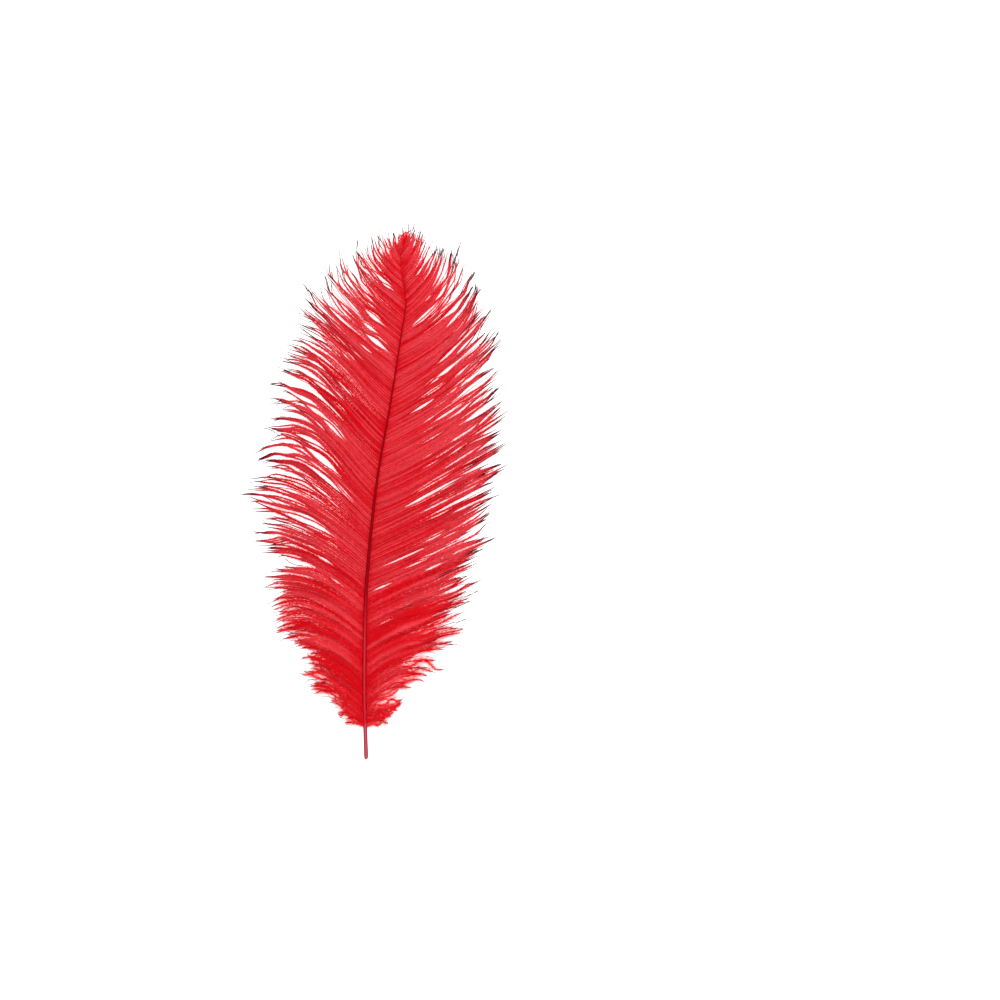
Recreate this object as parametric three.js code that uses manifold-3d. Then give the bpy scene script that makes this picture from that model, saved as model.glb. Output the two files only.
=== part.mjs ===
// An ostrich plume, lying on its underside: one bowed shaft with a bare quill
// at the -Y end, and on each side a soft vane that parts into pointed locks.
// Millimetres, +Z up. Plan positions are [across, along] from the quill's end,
// with +X to the right of the shaft and +Y towards the tip.

import * as THREE from 'three';
import { mergeVertices } from 'three/addons/utils/BufferGeometryUtils.js';
import Module from 'manifold-3d';

const wasm = await Module();
wasm.setup();

// Driving dimensions of the shaft

// Shaft axis: [across, along, height]. The quill's first 16 mm are level.
const SHAFT_AXIS = [
  [0, 0, 1.0], [-0.5, 16, 1.0], [-1, 36, 1.9], [-0.9, 65, 4.2], [0, 99, 6.8], [2.7, 133, 9.0],
  [7, 169, 10.4], [14.5, 212, 10.6], [21.4, 256, 9.4], [24, 275, 8.4], [20.7, 300, 6.8], [24.5, 315, 5.6],
];
// Shaft radius: [station along, radius].
const SHAFT_RADIUS = [
  [0, 0.75], [2, 1.25], [16, 1.25], [40, 1.4], [80, 1.3], [130, 1.05], [200, 0.75], [270, 0.45], [315, 0.25],
];
const SHAFT_SIDES = 12;
const SHAFT_STEP = 15;
// Points that the axis curve is read from.
const AXIS_SAMPLES = 400;
const QUILL_ROUND_END = [0, 0.7, 2];

// Driving dimensions of the vanes

// Angle of the barbs above square to the shaft where they leave it: [station along, degrees].
const LEFT_ROOT_ANGLE = [
  [20, 32], [30, 46], [50, 44], [80, 42], [292, 41], [304, 44], [310, 62], [314, 76],
];
const RIGHT_ROOT_ANGLE = [
  [20, 30], [28, 50], [45, 50], [60, 42], [80, 30], [100, 22], [130, 26], [150, 18], [170, 22],
  [195, 28], [220, 28], [250, 27], [280, 40], [300, 43], [306, 56],
];
// Locks from the quill to the tip: [station along, tip across, tip along, tip angle in degrees].
const LEFT_LOCKS = [
  [20.5, -16, 26, 0], [23, -25, 35, 0], [28, -31, 44.5, -5], [36, -37, 56, -5], [46, -39.5, 67, -10],
  [53, -44.5, 71.5, -18], [60, -50.5, 78.5, -22], [67, -50.5, 86, -22], [76.5, -53, 98, -16],
  [81.5, -56.5, 103.5, -14], [86, -57.5, 110.5, -6], [91.5, -48.5, 116.5, 2], [98.5, -58, 125, -5],
  [104.5, -59, 132.5, 1], [111.5, -60, 143, 6], [118, -63.5, 151.5, 0], [123.5, -66, 159.5, 4],
  [129.5, -62.5, 166, 0], [138, -58, 176.5, -12], [147, -61.5, 185, -22], [158, -51, 202, -8],
  [167.5, -52, 213.5, 2], [176, -52, 223, 10], [185, -46.5, 233.5, 20], [193, -44, 240, 15],
  [199.5, -44, 247, 25], [206.5, -40, 253.5, 14], [213, -40, 260.5, 24], [219.5, -35.5, 266, 34],
  [229, -34, 278, 52], [236.5, -29, 280.5, 56], [242, -23, 286, 68], [250, -20, 294.5, 72],
  [258, -14, 299.5, 76], [266, -3.5, 300.5, 80], [274, -5.5, 308, 80], [283, 2.5, 309, 80],
  [291.5, 8, 314.5, 82], [300, 16, 316, 80], [308, 21.5, 317.5, 86],
];
const RIGHT_LOCKS = [
  [20.5, 11.5, 23, 10], [23, 16, 28, 25], [26, 20.5, 34, 35], [30.5, 24, 45, 30], [36, 34.5, 49, -35],
  [40.5, 40.5, 52, -30], [45.5, 50.5, 66.5, -5], [50.5, 55, 72, 10], [57, 57, 81, 18],
  [66.5, 59, 95, 26], [77, 64, 104, 24], [83, 61, 111, 26], [88, 63.5, 116.5, 21],
  [93.5, 64.5, 123, 24], [98.5, 69.5, 129.5, 24], [106, 66, 138, 29], [111.5, 65.5, 144, 36],
  [117.5, 71, 153.5, 36], [123, 73, 158.5, 31], [129, 74.5, 165.5, 28], [134.5, 77.5, 171.5, 22],
  [140, 80.5, 178, 24], [149, 76, 188, 32], [155.5, 78, 196, 31], [163.5, 77.5, 207, 38],
  [170, 80, 212.5, 32], [178.5, 77.5, 222, 41], [185.5, 78.5, 231, 43], [194, 71, 237, 49],
  [200.5, 75.5, 246.5, 48], [207.5, 74.5, 254, 51], [216, 68.5, 261, 55], [224, 69.5, 269.5, 56],
  [234.5, 65.5, 279, 72], [246.5, 61, 285.5, 76], [259, 52.5, 303, 84], [271, 45, 305, 82],
  [281.5, 40, 308.5, 80], [292, 33, 317, 84], [302, 29, 318.5, 84],
];
// How far a lock spreads towards its neighbours, as a share of half the way: [share of length, spread].
const LOCK_SPREAD = [[0, 1.3], [0.3, 1.25], [0.5, 1.12], [0.7, 0.95], [0.85, 0.72], [0.94, 0.45], [1, 0]];
// Thickness of a lock: [share of length, millimetres].
const LOCK_THICKNESS = [[0, 1.9], [0.5, 1.7], [0.85, 1.0], [1, 0]];
const LOCK_SECTIONS = [0, 0.2, 0.4, 0.6, 0.76, 0.9];
// Each Bezier handle of a lock's line is this share of the way from its root to its tip.
const HANDLE_SHARE = 0.36;
// Locks start this far across the shaft's axis, so that both vanes grow through it.
const ROOT_OVERLAP = 0.5;
// A lock arches up by this share of its length before it droops to its tip.
const ARCH_SHARE = 0.045;
const TIP_HEIGHT_LOW = 0.3;
const TIP_HEIGHT_RANGE = 2.2;
const LAYER_OFFSET = 0.35;
// Steps of the golden ratio spread the tip heights evenly, without a visible order.
const GOLDEN_STEP = 0.618;
// Corners closer than this are one corner, in millimetres.
const SAME_POINT = 1e-4;

// Value at a place in a list of [place, value] pairs, straight between the pairs.
function readProfile(profile, place) {
  if (place <= profile[0][0]) return profile[0][1];
  for (let i = 1; i < profile.length; i++) {
    const [from, low] = profile[i - 1];
    const [to, high] = profile[i];
    if (place <= to) return THREE.MathUtils.mapLinear(place, from, to, low, high);
  }
  return profile[profile.length - 1][1];
}

// The shaft's axis as fine points, one per share of the curve.
const AXIS_POINTS = new THREE.CatmullRomCurve3(
  SHAFT_AXIS.map((point) => new THREE.Vector3(...point)), false, 'centripetal',
).getPoints(AXIS_SAMPLES);

// Point of the shaft's axis at a station along +Y.
function shaftPoint(station) {
  const after = AXIS_POINTS.findIndex((point) => point.y >= station);
  if (after <= 0) return AXIS_POINTS[after === 0 ? 0 : AXIS_POINTS.length - 1].clone();
  const before = AXIS_POINTS[after - 1];
  const share = (station - before.y) / (AXIS_POINTS[after].y - before.y);
  return before.clone().lerp(AXIS_POINTS[after], share);
}

// Closed mesh from rings of equal length, closed by a fan at the start and at the end.
function loft(rings, startPoint, endPoint) {
  const sides = rings[0].length;
  const points = [...rings.flat(), startPoint, endPoint];
  const start = points.length - 2;
  const end = points.length - 1;
  const last = (rings.length - 1) * sides;
  const faces = [];
  for (let side = 0; side < sides; side++) {
    const next = (side + 1) % sides;
    faces.push(start, next, side);
    faces.push(end, last + side, last + next);
    for (let ring = 0; ring < rings.length - 1; ring++) {
      const near = ring * sides;
      const far = near + sides;
      faces.push(near + side, near + next, far + next);
      faces.push(near + side, far + next, far + side);
    }
  }
  const geometry = new THREE.BufferGeometry();
  geometry.setAttribute('position', new THREE.Float32BufferAttribute(points.flatMap((p) => p.toArray()), 3));
  geometry.setIndex(faces);
  return geometry;
}

function toSolid(geometry) {
  const merged = mergeVertices(geometry, SAME_POINT);
  return new wasm.Manifold(new wasm.Mesh({
    numProp: 3,
    vertProperties: new Float32Array(merged.attributes.position.array),
    triVerts: new Uint32Array(merged.index.array),
  }));
}

// Nothing of the plume is lower than the surface it lies on.
function onSurface(point) {
  point.z = Math.max(point.z, 0);
  return point;
}

// The shaft: a tapering round rod whose quill is flat underneath.
function makeShaft() {
  const top = SHAFT_AXIS[SHAFT_AXIS.length - 1][1];
  const stations = [...QUILL_ROUND_END];
  for (let station = QUILL_ROUND_END.at(-1) + SHAFT_STEP; station < top - 1; station += SHAFT_STEP) {
    stations.push(station);
  }
  const rings = stations.map((station) => {
    const centre = shaftPoint(station);
    const ahead = shaftPoint(station + 1).sub(shaftPoint(station - 1)).setZ(0).normalize();
    const across = new THREE.Vector3(ahead.y, -ahead.x, 0);
    const radius = readProfile(SHAFT_RADIUS, station);
    return Array.from({ length: SHAFT_SIDES }, (_, side) => {
      const turn = -2 * Math.PI * side / SHAFT_SIDES;
      const point = centre.clone().addScaledVector(across, radius * Math.cos(turn));
      point.z += radius * Math.sin(turn);
      return onSurface(point);
    });
  });
  return loft(rings, shaftPoint(0), shaftPoint(top));
}

// The line of a lock as a function of the share of its length. Side is -1 on the left, 1 on the right.
function lockLine(lock, index, side) {
  const [station, tipAcross, tipAlong, tipAngle] = lock;
  const rootAngle = readProfile(side < 0 ? LEFT_ROOT_ANGLE : RIGHT_ROOT_ANGLE, station);
  const outward = (degrees) => {
    const angle = THREE.MathUtils.degToRad(degrees);
    return new THREE.Vector3(side * Math.cos(angle), Math.sin(angle), 0);
  };
  const root = shaftPoint(station);
  const rootHeight = root.z;
  root.z = 0;
  const tip = new THREE.Vector3(tipAcross, tipAlong, 0);
  const length = root.distanceTo(tip);
  const handle = length * HANDLE_SHARE;
  const start = root.clone().addScaledVector(outward(rootAngle), -ROOT_OVERLAP);
  const plan = new THREE.CubicBezierCurve3(
    start,
    root.clone().addScaledVector(outward(rootAngle), handle),
    tip.clone().addScaledVector(outward(tipAngle), -handle),
    tip,
  );
  const tipHeight = TIP_HEIGHT_LOW + TIP_HEIGHT_RANGE * ((index * GOLDEN_STEP) % 1);
  const layer = index % 2 ? LAYER_OFFSET : -LAYER_OFFSET;
  return (share) => {
    const point = plan.getPoint(share);
    const arch = Math.sin(Math.PI * share);
    point.z = rootHeight + (tipHeight - rootHeight) * share ** 2 + arch * (length * ARCH_SHARE + layer);
    return point;
  };
}

// One lock: a flat pointed blade with a ridge along its top, between its two neighbours' lines.
function makeLock(line, lowerLine, upperLine, side) {
  const rings = LOCK_SECTIONS.map((share) => {
    const centre = line(share);
    const spread = readProfile(LOCK_SPREAD, share) / 2;
    const half = new THREE.Vector3(0, 0, readProfile(LOCK_THICKNESS, share) / 2);
    const lower = lowerLine(share).setZ(centre.z);
    const upper = upperLine(share).setZ(centre.z);
    const ring = [
      centre.clone().lerp(lower, spread),
      centre.clone().add(half),
      centre.clone().lerp(upper, spread),
      centre.clone().sub(half),
    ].map(onSurface);
    return side < 0 ? ring : ring.reverse();
  });
  return loft(rings, line(0), onSurface(line(1)));
}

// The locks of one vane. Past its first and last lock, the neighbour's line is the mirror of the one inside.
function makeVane(locks, side) {
  const lines = locks.map((lock, index) => lockLine(lock, index, side));
  const mirrored = (line, inner) => (share) => line(share).multiplyScalar(2).sub(inner(share));
  return lines.map((line, index) => {
    const lower = lines[index - 1] ?? mirrored(line, lines[index + 1]);
    const upper = lines[index + 1] ?? mirrored(line, lines[index - 1]);
    return makeLock(line, lower, upper, side);
  });
}

const pieces = [makeShaft(), ...makeVane(LEFT_LOCKS, -1), ...makeVane(RIGHT_LOCKS, 1)];
const grown = pieces.map(toSolid).reduce((whole, piece) => whole.add(piece));
const surface = grown.getMesh();

const plumeGeometry = new THREE.BufferGeometry();
plumeGeometry.setAttribute('position', new THREE.Float32BufferAttribute(surface.vertProperties, 3));
plumeGeometry.setIndex(new THREE.Uint32BufferAttribute(surface.triVerts, 1));
plumeGeometry.computeBoundingBox();
const box = plumeGeometry.boundingBox;
plumeGeometry.translate(-(box.min.x + box.max.x) / 2, -(box.min.y + box.max.y) / 2, -box.min.z);
plumeGeometry.computeVertexNormals();

const redDye = new THREE.MeshStandardMaterial({ color: 0xdb343d, roughness: 0.8, metalness: 0 });
const plume = new THREE.Mesh(plumeGeometry, redDye);
plume.name = 'plume';

const part = new THREE.Group();
part.add(plume);

export default part;
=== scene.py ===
"""A dyed ostrich plume lying on a pale floor, seen from straight above.

The shaft and its quill are one lofted mesh. Each vane is a few hundred barbs, every one a thin
rod with two rows of flat barbules. Barbs follow the lines of the locks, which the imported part's
solid also follows, and gather into points towards the locks' ends.
"""

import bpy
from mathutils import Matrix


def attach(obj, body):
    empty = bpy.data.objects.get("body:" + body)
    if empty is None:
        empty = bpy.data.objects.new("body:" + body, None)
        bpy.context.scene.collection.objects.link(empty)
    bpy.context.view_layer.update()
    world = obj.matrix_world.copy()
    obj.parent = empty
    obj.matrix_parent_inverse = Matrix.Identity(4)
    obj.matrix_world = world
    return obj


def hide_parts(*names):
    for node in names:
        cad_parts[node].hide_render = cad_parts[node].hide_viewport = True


bl_info = {
    "name": "Ostrich plume",
    "version": (1, 0, 0),
    "blender": (4, 5, 0),
    "location": "3D View > Sidebar > Plume",
    "description": "Makes a dyed ostrich plume, its floor, lights and camera around the packed part",
    "category": "Object",
}

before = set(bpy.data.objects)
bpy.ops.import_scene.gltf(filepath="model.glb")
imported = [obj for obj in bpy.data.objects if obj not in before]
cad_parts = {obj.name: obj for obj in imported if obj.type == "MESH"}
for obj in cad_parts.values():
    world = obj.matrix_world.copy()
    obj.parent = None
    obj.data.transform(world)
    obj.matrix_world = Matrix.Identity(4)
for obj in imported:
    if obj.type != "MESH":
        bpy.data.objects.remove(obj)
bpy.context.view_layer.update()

import math

import bpy
import numpy as np
from bpy.props import FloatProperty, FloatVectorProperty, IntProperty, PointerProperty

MM = 0.001
UP = np.array([0.0, 0.0, 1.0])

# The shaft

# Shaft axis in millimetres from the quill's end: across, along, height.
SHAFT_AXIS = np.array([
    (0, 0, 1.0), (-0.5, 16, 1.0), (-1, 36, 1.9), (-0.9, 65, 4.2), (0, 99, 6.8), (2.7, 133, 9.0),
    (7, 169, 10.4), (14.5, 212, 10.6), (21.4, 256, 9.4), (24, 275, 8.4), (20.7, 300, 6.8),
    (24.5, 315, 5.6),
])
# Station along in millimetres, and the shaft's radius there.
SHAFT_RADIUS = np.array([
    (0, 0.35), (0.4, 0.8), (1.2, 1.12), (3, 1.28), (10, 1.2), (24, 1.25), (40, 1.4), (80, 1.3),
    (130, 1.0), (200, 0.7), (270, 0.42), (315, 0.15),
])

# The vanes

# Station along in millimetres, and the barbs' angle above square to the shaft where they leave it.
ROOT_ANGLES = {
    "left": np.array([
        (20, 32), (30, 46), (50, 44), (80, 42), (292, 41), (304, 44), (310, 62), (314, 76),
    ], float),
    "right": np.array([
        (20, 30), (28, 50), (45, 50), (60, 42), (80, 30), (100, 22), (130, 26), (150, 18),
        (170, 22), (195, 28), (220, 28), (250, 27), (280, 40), (300, 43), (306, 56),
    ], float),
}
# Locks from the quill to the tip: station along, tip across, tip along (millimetres), tip angle.
LOCKS = {
    "left": np.array([
        (20.5, -16, 26, 0), (23, -25, 35, 0), (28, -31, 44.5, -5), (36, -37, 56, -5),
        (46, -39.5, 67, -10), (53, -44.5, 71.5, -18), (60, -50.5, 78.5, -22),
        (67, -50.5, 86, -22), (76.5, -53, 98, -16), (81.5, -56.5, 103.5, -14),
        (86, -57.5, 110.5, -6), (91.5, -48.5, 116.5, 2), (98.5, -58, 125, -5),
        (104.5, -59, 132.5, 1), (111.5, -60, 143, 6), (118, -63.5, 151.5, 0),
        (123.5, -66, 159.5, 4), (129.5, -62.5, 166, 0), (138, -58, 176.5, -12),
        (147, -61.5, 185, -22), (158, -51, 202, -8), (167.5, -52, 213.5, 2),
        (176, -52, 223, 10), (185, -46.5, 233.5, 20), (193, -44, 240, 15),
        (199.5, -44, 247, 25), (206.5, -40, 253.5, 14), (213, -40, 260.5, 24),
        (219.5, -35.5, 266, 34), (229, -34, 278, 52), (236.5, -29, 280.5, 56),
        (242, -23, 286, 68), (250, -20, 294.5, 72), (258, -14, 299.5, 76),
        (266, -3.5, 300.5, 80), (274, -5.5, 308, 80), (283, 2.5, 309, 80),
        (291.5, 8, 314.5, 82), (300, 16, 316, 80), (308, 21.5, 317.5, 86),
    ]),
    "right": np.array([
        (20.5, 11.5, 23, 10), (23, 16, 28, 25), (26, 20.5, 34, 35), (30.5, 24, 45, 30),
        (36, 34.5, 49, -35), (40.5, 40.5, 52, -30), (45.5, 50.5, 66.5, -5), (50.5, 55, 72, 10),
        (57, 57, 81, 18), (66.5, 59, 95, 26), (77, 64, 104, 24), (83, 61, 111, 26),
        (88, 63.5, 116.5, 21), (93.5, 64.5, 123, 24), (98.5, 69.5, 129.5, 24),
        (106, 66, 138, 29), (111.5, 65.5, 144, 36), (117.5, 71, 153.5, 36),
        (123, 73, 158.5, 31), (129, 74.5, 165.5, 28), (134.5, 77.5, 171.5, 22),
        (140, 80.5, 178, 24), (149, 76, 188, 32), (155.5, 78, 196, 31), (163.5, 77.5, 207, 38),
        (170, 80, 212.5, 32), (178.5, 77.5, 222, 41), (185.5, 78.5, 231, 43),
        (194, 71, 237, 49), (200.5, 75.5, 246.5, 48), (207.5, 74.5, 254, 51),
        (216, 68.5, 261, 55), (224, 69.5, 269.5, 56), (234.5, 65.5, 279, 72),
        (246.5, 61, 285.5, 76), (259, 52.5, 303, 84), (271, 45, 305, 82),
        (281.5, 40, 308.5, 80), (292, 33, 317, 84), (302, 29, 318.5, 84),
    ]),
}
SIDE_SIGN = {"left": -1, "right": 1}
HANDLE_SHARE = 0.36
ROOT_OVERLAP = 0.5
ARCH_SHARE = 0.045
TIP_HEIGHT_LOW = 0.3
TIP_HEIGHT_RANGE = 2.2
LAYER_OFFSET = 0.35
GOLDEN_STEP = 0.618

# Share of a barb's line, and how far its lock still spreads towards its neighbours there.
LOCK_SPREAD = np.array([
    (0, 1.0), (0.8, 1.0), (1, 0.95), (1.2, 0.9),
])
# Share of a barb's line, and its rod's width and its barbules' length as shares of the full ones.
ROD_SHAPE = np.array([
    (0, 1.2), (0.1, 1.05), (0.4, 1.05), (0.8, 1.55), (0.92, 1.25), (0.98, 0.6), (1, 0.3),
])
BARBULE_SHAPE = np.array([
    (0, 0.5), (0.1, 0.55), (0.35, 0.65), (0.55, 1.0), (0.75, 1.2), (0.88, 1.0), (0.96, 0.6), (1, 0),
])
BARB_POINTS = 24
SMOOTHING_PASSES = 1
BARE_BARBULE = 0.3
# Station along, and how far the woolly barbs reach there, as a share of their lock's length. Past them
# stand only the bare, dark ends of the longest barbs.
WOOL_REACH = np.array([(20, 1.05), (70, 1.06), (250, 1.05), (285, 1.0), (298, 0.9), (312, 0.85)])
# Past this station the locks split into more and finer bundles.
FINE_TIP_STATION = 225
# Longest that any barb gets, as a share of its lock's length.
LONGEST_REACH = 1.12
# Station along, and where the barbs begin to gather into points, as a share of their length.
GATHER_START = np.array([(20, 0.8), (90, 0.72), (150, 0.58), (220, 0.45), (280, 0.35), (312, 0.3)])
# Station along, and how far the barbs of a bundle have closed up at its end.
GATHER_PULL = np.array([(20, 0.3), (90, 0.55), (150, 0.68), (220, 0.75), (280, 0.85), (312, 0.9)])
# Share of the barbs that are thin and long and end in a bare dark hair.
HAIR_SHARE = 0.28
HAIR_WIDTH = 0.45
# Half width of a lone hair, as a share of a full rod's.
HAIR_ROD = 0.68
# Every other barb is paler in tone, and those between are denser, by this much.
STREAK_TONE = 0.26
# Painted shade: barbs are this much darker in tone beside the shaft, where its ridge shades them, within about this
# many millimetres of it.
SHAFT_SHADE = 0.7
SHAFT_SHADE_WIDTH = 2.2
# Combed barbs are this much paler in tone in their outer part.
OUTER_PALENESS = 0.3
# Share of the dark end's colour that every barb takes on in its outer part, and more at its end.
OUTER_SHADE = 0.09
END_SHADE = 0.17
# Half width in millimetres that a barb's rod keeps up to its end.
THINNEST_ROD = 0.2
# Stations between which the vanes thin out towards the tip, where their outer half is mostly hairs.
SPARSE_STATIONS = (140, 300)
# A rod is this high for its width, with its ridge upwards.
ROD_FLATNESS = 0.4
# Stations between which the vanes change from loose down to combed barbs.
DOWN_STATIONS = (45, 115)
# The line of the tuft that hides the shaft's end, listed as the locks are.
TUFTS = {
    "left": np.array([(312, 24, 318, 88)]),
    "right": np.array([(310, 25.5, 318, 88)]),
}

# Lone hairs that stand out of the vanes: inner end across and along, outer end across and along.
STRAY_HAIRS = {
    "left": np.array([
        (12.5, 303, 6.6, 314.6), (24, 311, 21.6, 320), (17, 305, 13.5, 316.5), (26, 312, 25.4, 322),
        (-52, 152, -66.6, 159.8), (-38, 116.5, -49.2, 121), (-36, 112, -48.6, 115.5),
        (-52, 194, -63, 199.5), (-38, 71, -47.5, 75.5), (-42, 75.5, -51, 79),
    ]),
    "right": np.array([
        (28, 311, 29.6, 322.4), (28.5, 308, 32.7, 317.4), (30, 300, 35.4, 312.5),
        (50, 288, 57.2, 311.6), (66, 250, 73.8, 266.6), (55, 276, 63.5, 291.7),
    ]),
}

# Slits where the barbs part: inner end across and along, outer end across and along, width.
SLITS = {
    "left": np.array([
        (5.4, 284.4, -1.2, 296.4, 2.0), (15.6, 285, 5.4, 290.4, 1.8), (15.6, 281.4, 10.2, 286.2, 1.2),
        (-19.8, 268.8, -25.8, 278.4, 1.8), (-10.2, 269.4, -16.2, 276.6, 1.8),
        (10.2, 263.1, 0, 267.9, 3.0), (7.2, 255.9, -1.5, 262.5, 2.6), (-12.6, 243, -37.2, 258, 1.8),
        (12, 247.2, 0.6, 253.8, 3.2), (1.8, 245.4, -1.8, 249, 2.2), (-12, 221.4, -39.6, 246, 0.9),
        (-13.8, 216.6, -42.6, 234.6, 1.5), (-19.2, 211.2, -36, 223.8, 1.1), (-12.6, 210, -18, 214.8, 1.5),
        (-30.6, 202.2, -48, 209.4, 3.0), (-13.8, 193.8, -25.2, 204, 3.0), (-20.4, 186.6, -43.8, 196.8, 3.0),
        (-15.6, 176.4, -37.2, 185.4, 4.4), (-37.2, 174, -48, 176.4, 2.0), (-9.6, 165, -37.2, 171.6, 2.4),
        (-32.4, 163.8, -45, 166.8, 1.9), (-6, 159, -20.4, 164.4, 1.7), (-18.6, 154.2, -21.6, 155.4, 1.0),
        (-19, 137, -48, 148.8, 3.7), (-21, 119.4, -28.8, 120.6, 1.6), (-13.8, 105.6, -21.6, 109.2, 1.2),
        (-43.2, 99, -52.8, 102.6, 1.2),
    ]),
    "right": np.array([
        (27, 260.4, 45.6, 273.6, 2.2), (48, 258, 59.4, 271.2, 2.2), (52.2, 255, 63, 267.6, 1.6),
        (41.4, 237, 56.4, 249, 2.0), (45, 248.4, 50.4, 252.6, 1.5), (38.4, 226.2, 43.2, 228.6, 1.4),
        (30.6, 216, 50.4, 226.8, 1.7), (27.6, 210, 40.8, 214.8, 1.8), (51, 216, 70.8, 226.8, 1.0),
        (39, 203.4, 60, 213, 2.2), (55.2, 195, 64.8, 201.6, 1.7), (42.6, 174, 75.6, 191.4, 1.6),
        (28.8, 162, 54, 171, 1.6), (21.6, 154.2, 58.2, 166.8, 2.2), (52.2, 158.4, 58.8, 162, 1.4),
        (44.4, 131.4, 57, 138.6, 1.9), (9.6, 117.6, 41.4, 129, 0.9), (22.8, 115.8, 37.2, 120.6, 1.7),
        (5.4, 103.2, 14.4, 105, 1.5), (50.4, 109.8, 59.4, 112.8, 1.2), (5.4, 82.2, 19.2, 84, 1.0),
    ]),
}
# Notches open at the vane's edge, listed in the same way.
NOTCHES = {
    "left": np.array([
        (-28, 112.5, -50.4, 122.5, 5.5), (-36, 155, -60, 160, 2.2), (-20, 255, -33, 268, 2.0),
        (-30, 193, -55, 207, 2.2), (-30, 178, -56, 190, 2.5),
    ]),
    "right": np.array([
        (46.8, 269.4, 56.4, 288, 4.5), (56.4, 223.2, 70.8, 237.6, 4.5), (60, 191.4, 74.4, 201.6, 3.4),
        (59.4, 154.8, 71.4, 162, 3.0), (51, 129, 66.6, 132.6, 2.4), (25, 47.5, 33, 50, 2.0),
    ]),
}
# Small random slits in each vane: how many are tried, the rows of barb points that they start at, the
# station that they begin from, and their widths in millimetres.
FLECK_COUNT = 140
FLECK_ROWS = (8, 20)
FLECK_STATION = 75
FLECK_WIDTHS = (0.4, 1.1)
# Barbs beside a slit stand this much further off than its edge, because their barbules reach into it.
SLIT_MARGIN = 0.1
SLIT_POINTS = 16
# Heights in millimetres above the floor that a barb's line and its barbules keep.
LOWEST_BARB = 0.5
LOWEST_BARBULE = 0.02
VANE_PARTS = ("base", "middle", "tip")


class PlumeSettings(bpy.types.PropertyGroup):
    """Sizes and colours of the plume and its stage"""

    barb_gap: FloatProperty(
        name="Barb gap", description="Distance between neighbouring barbs, square to them",
        default=0.62 * MM, unit="LENGTH")
    rod_radius: FloatProperty(
        name="Rod radius", description="Half width of a barb's rod with the barbs' woolly core",
        default=0.4 * MM, unit="LENGTH")
    barbule_gap: FloatProperty(
        name="Barbule gap", description="Distance between barbules along a barb, both rows together",
        default=0.22 * MM, unit="LENGTH")
    down_gap: FloatProperty(
        name="Down gap", description="The same distance in the downy barbs next to the quill",
        default=0.19 * MM, unit="LENGTH")
    barbule_length: FloatProperty(
        name="Barbule length", description="Length of the longest barbules",
        default=3.4 * MM, unit="LENGTH")
    barbule_width: FloatProperty(
        name="Barbule width", description="Width of a barbule at its root",
        default=0.32 * MM, unit="LENGTH")
    barbule_slant: FloatProperty(
        name="Barbule slant", description="Angle between a barbule and its barb",
        default=math.radians(19), subtype="ANGLE")
    seed: IntProperty(name="Seed", description="Seed of the barbs' small irregularities", default=7)
    dye: FloatVectorProperty(
        name="Dye", description="Colour of the dense red barbs", subtype="COLOR", size=3,
        default=(0.78, 0.003, 0.010), min=0, max=1)
    pale_dye: FloatVectorProperty(
        name="Pale dye", description="Colour of the palest barbs", subtype="COLOR", size=3,
        default=(0.93, 0.064, 0.084), min=0, max=1)
    # Painted shade: the colour that the furrows between the barbs are darkened towards.
    crease_shade_colour: FloatVectorProperty(
        name="Crease colour", description="Colour of the furrows between the barbs", subtype="COLOR",
        size=3, default=(0.40, 0.002, 0.008), min=0, max=1)
    tip_colour: FloatVectorProperty(
        name="Tip colour", description="Colour of the barbs' bare dark ends", subtype="COLOR", size=3,
        default=(0.10, 0.009, 0.017), min=0, max=1)
    shaft_colour: FloatVectorProperty(
        name="Shaft colour", description="Colour of the shaft's thin upper part", subtype="COLOR",
        size=3, default=(0.24, 0.001, 0.004), min=0, max=1)
    low_shaft_colour: FloatVectorProperty(
        name="Low shaft colour", description="Colour of the shaft's thick part between the vanes",
        subtype="COLOR", size=3, default=(0.36, 0.002, 0.008), min=0, max=1)
    # Painted highlight: a pale line along the top of the shaft's thick part.
    stripe_highlight_colour: FloatVectorProperty(
        name="Stripe colour", description="Colour of the pale line along the thick part's top",
        subtype="COLOR", size=3, default=(0.64, 0.030, 0.050), min=0, max=1)
    # The quill's rose colour is on its top; the material paints its sides dark with the shaft colour as shade.
    quill_colour: FloatVectorProperty(
        name="Quill colour", description="Colour of the bare horny quill's top", subtype="COLOR",
        size=3, default=(0.58, 0.090, 0.130), min=0, max=1)
    floor_glow: FloatProperty(
        name="Floor glow", description="Light that the pale floor gives back by itself",
        default=0.8, min=0)


# Lines of the shaft and the locks

def read_profile(profile, place):
    """Value at a place in an array of place and value, straight between the rows."""
    return np.interp(place, profile[:, 0], profile[:, 1])


def smooth_step(low, high, value):
    share = np.clip((value - low) / (high - low), 0, 1)
    return share * share * (3 - 2 * share)


def centripetal_curve(points, per_span):
    """Points on the centripetal Catmull-Rom curve through the given points."""
    ends = np.vstack([2 * points[0] - points[1], points, 2 * points[-1] - points[-2]])
    share = np.linspace(0, 1, per_span, endpoint=False)[:, None]
    spans = []
    for a, b, c, d in zip(ends, ends[1:], ends[2:], ends[3:]):
        before, span, after = (math.sqrt(np.linalg.norm(q - p)) for p, q in ((a, b), (b, c), (c, d)))
        leave = ((b - a) / before - (c - a) / (before + span) + (c - b) / span) * span
        arrive = ((c - b) / span - (d - b) / (span + after) + (d - c) / after) * span
        square = 3 * (c - b) - 2 * leave - arrive
        cube = 2 * (b - c) + leave + arrive
        spans.append(b + leave * share + square * share**2 + cube * share**3)
    return np.vstack(spans + [points[-1][None]])


AXIS_CURVE = centripetal_curve(SHAFT_AXIS, 40)


def shaft_point(station):
    """Point of the shaft's axis at a station along +Y, in millimetres."""
    return np.array([np.interp(station, AXIS_CURVE[:, 1], AXIS_CURVE[:, axis]) for axis in range(3)])


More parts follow.
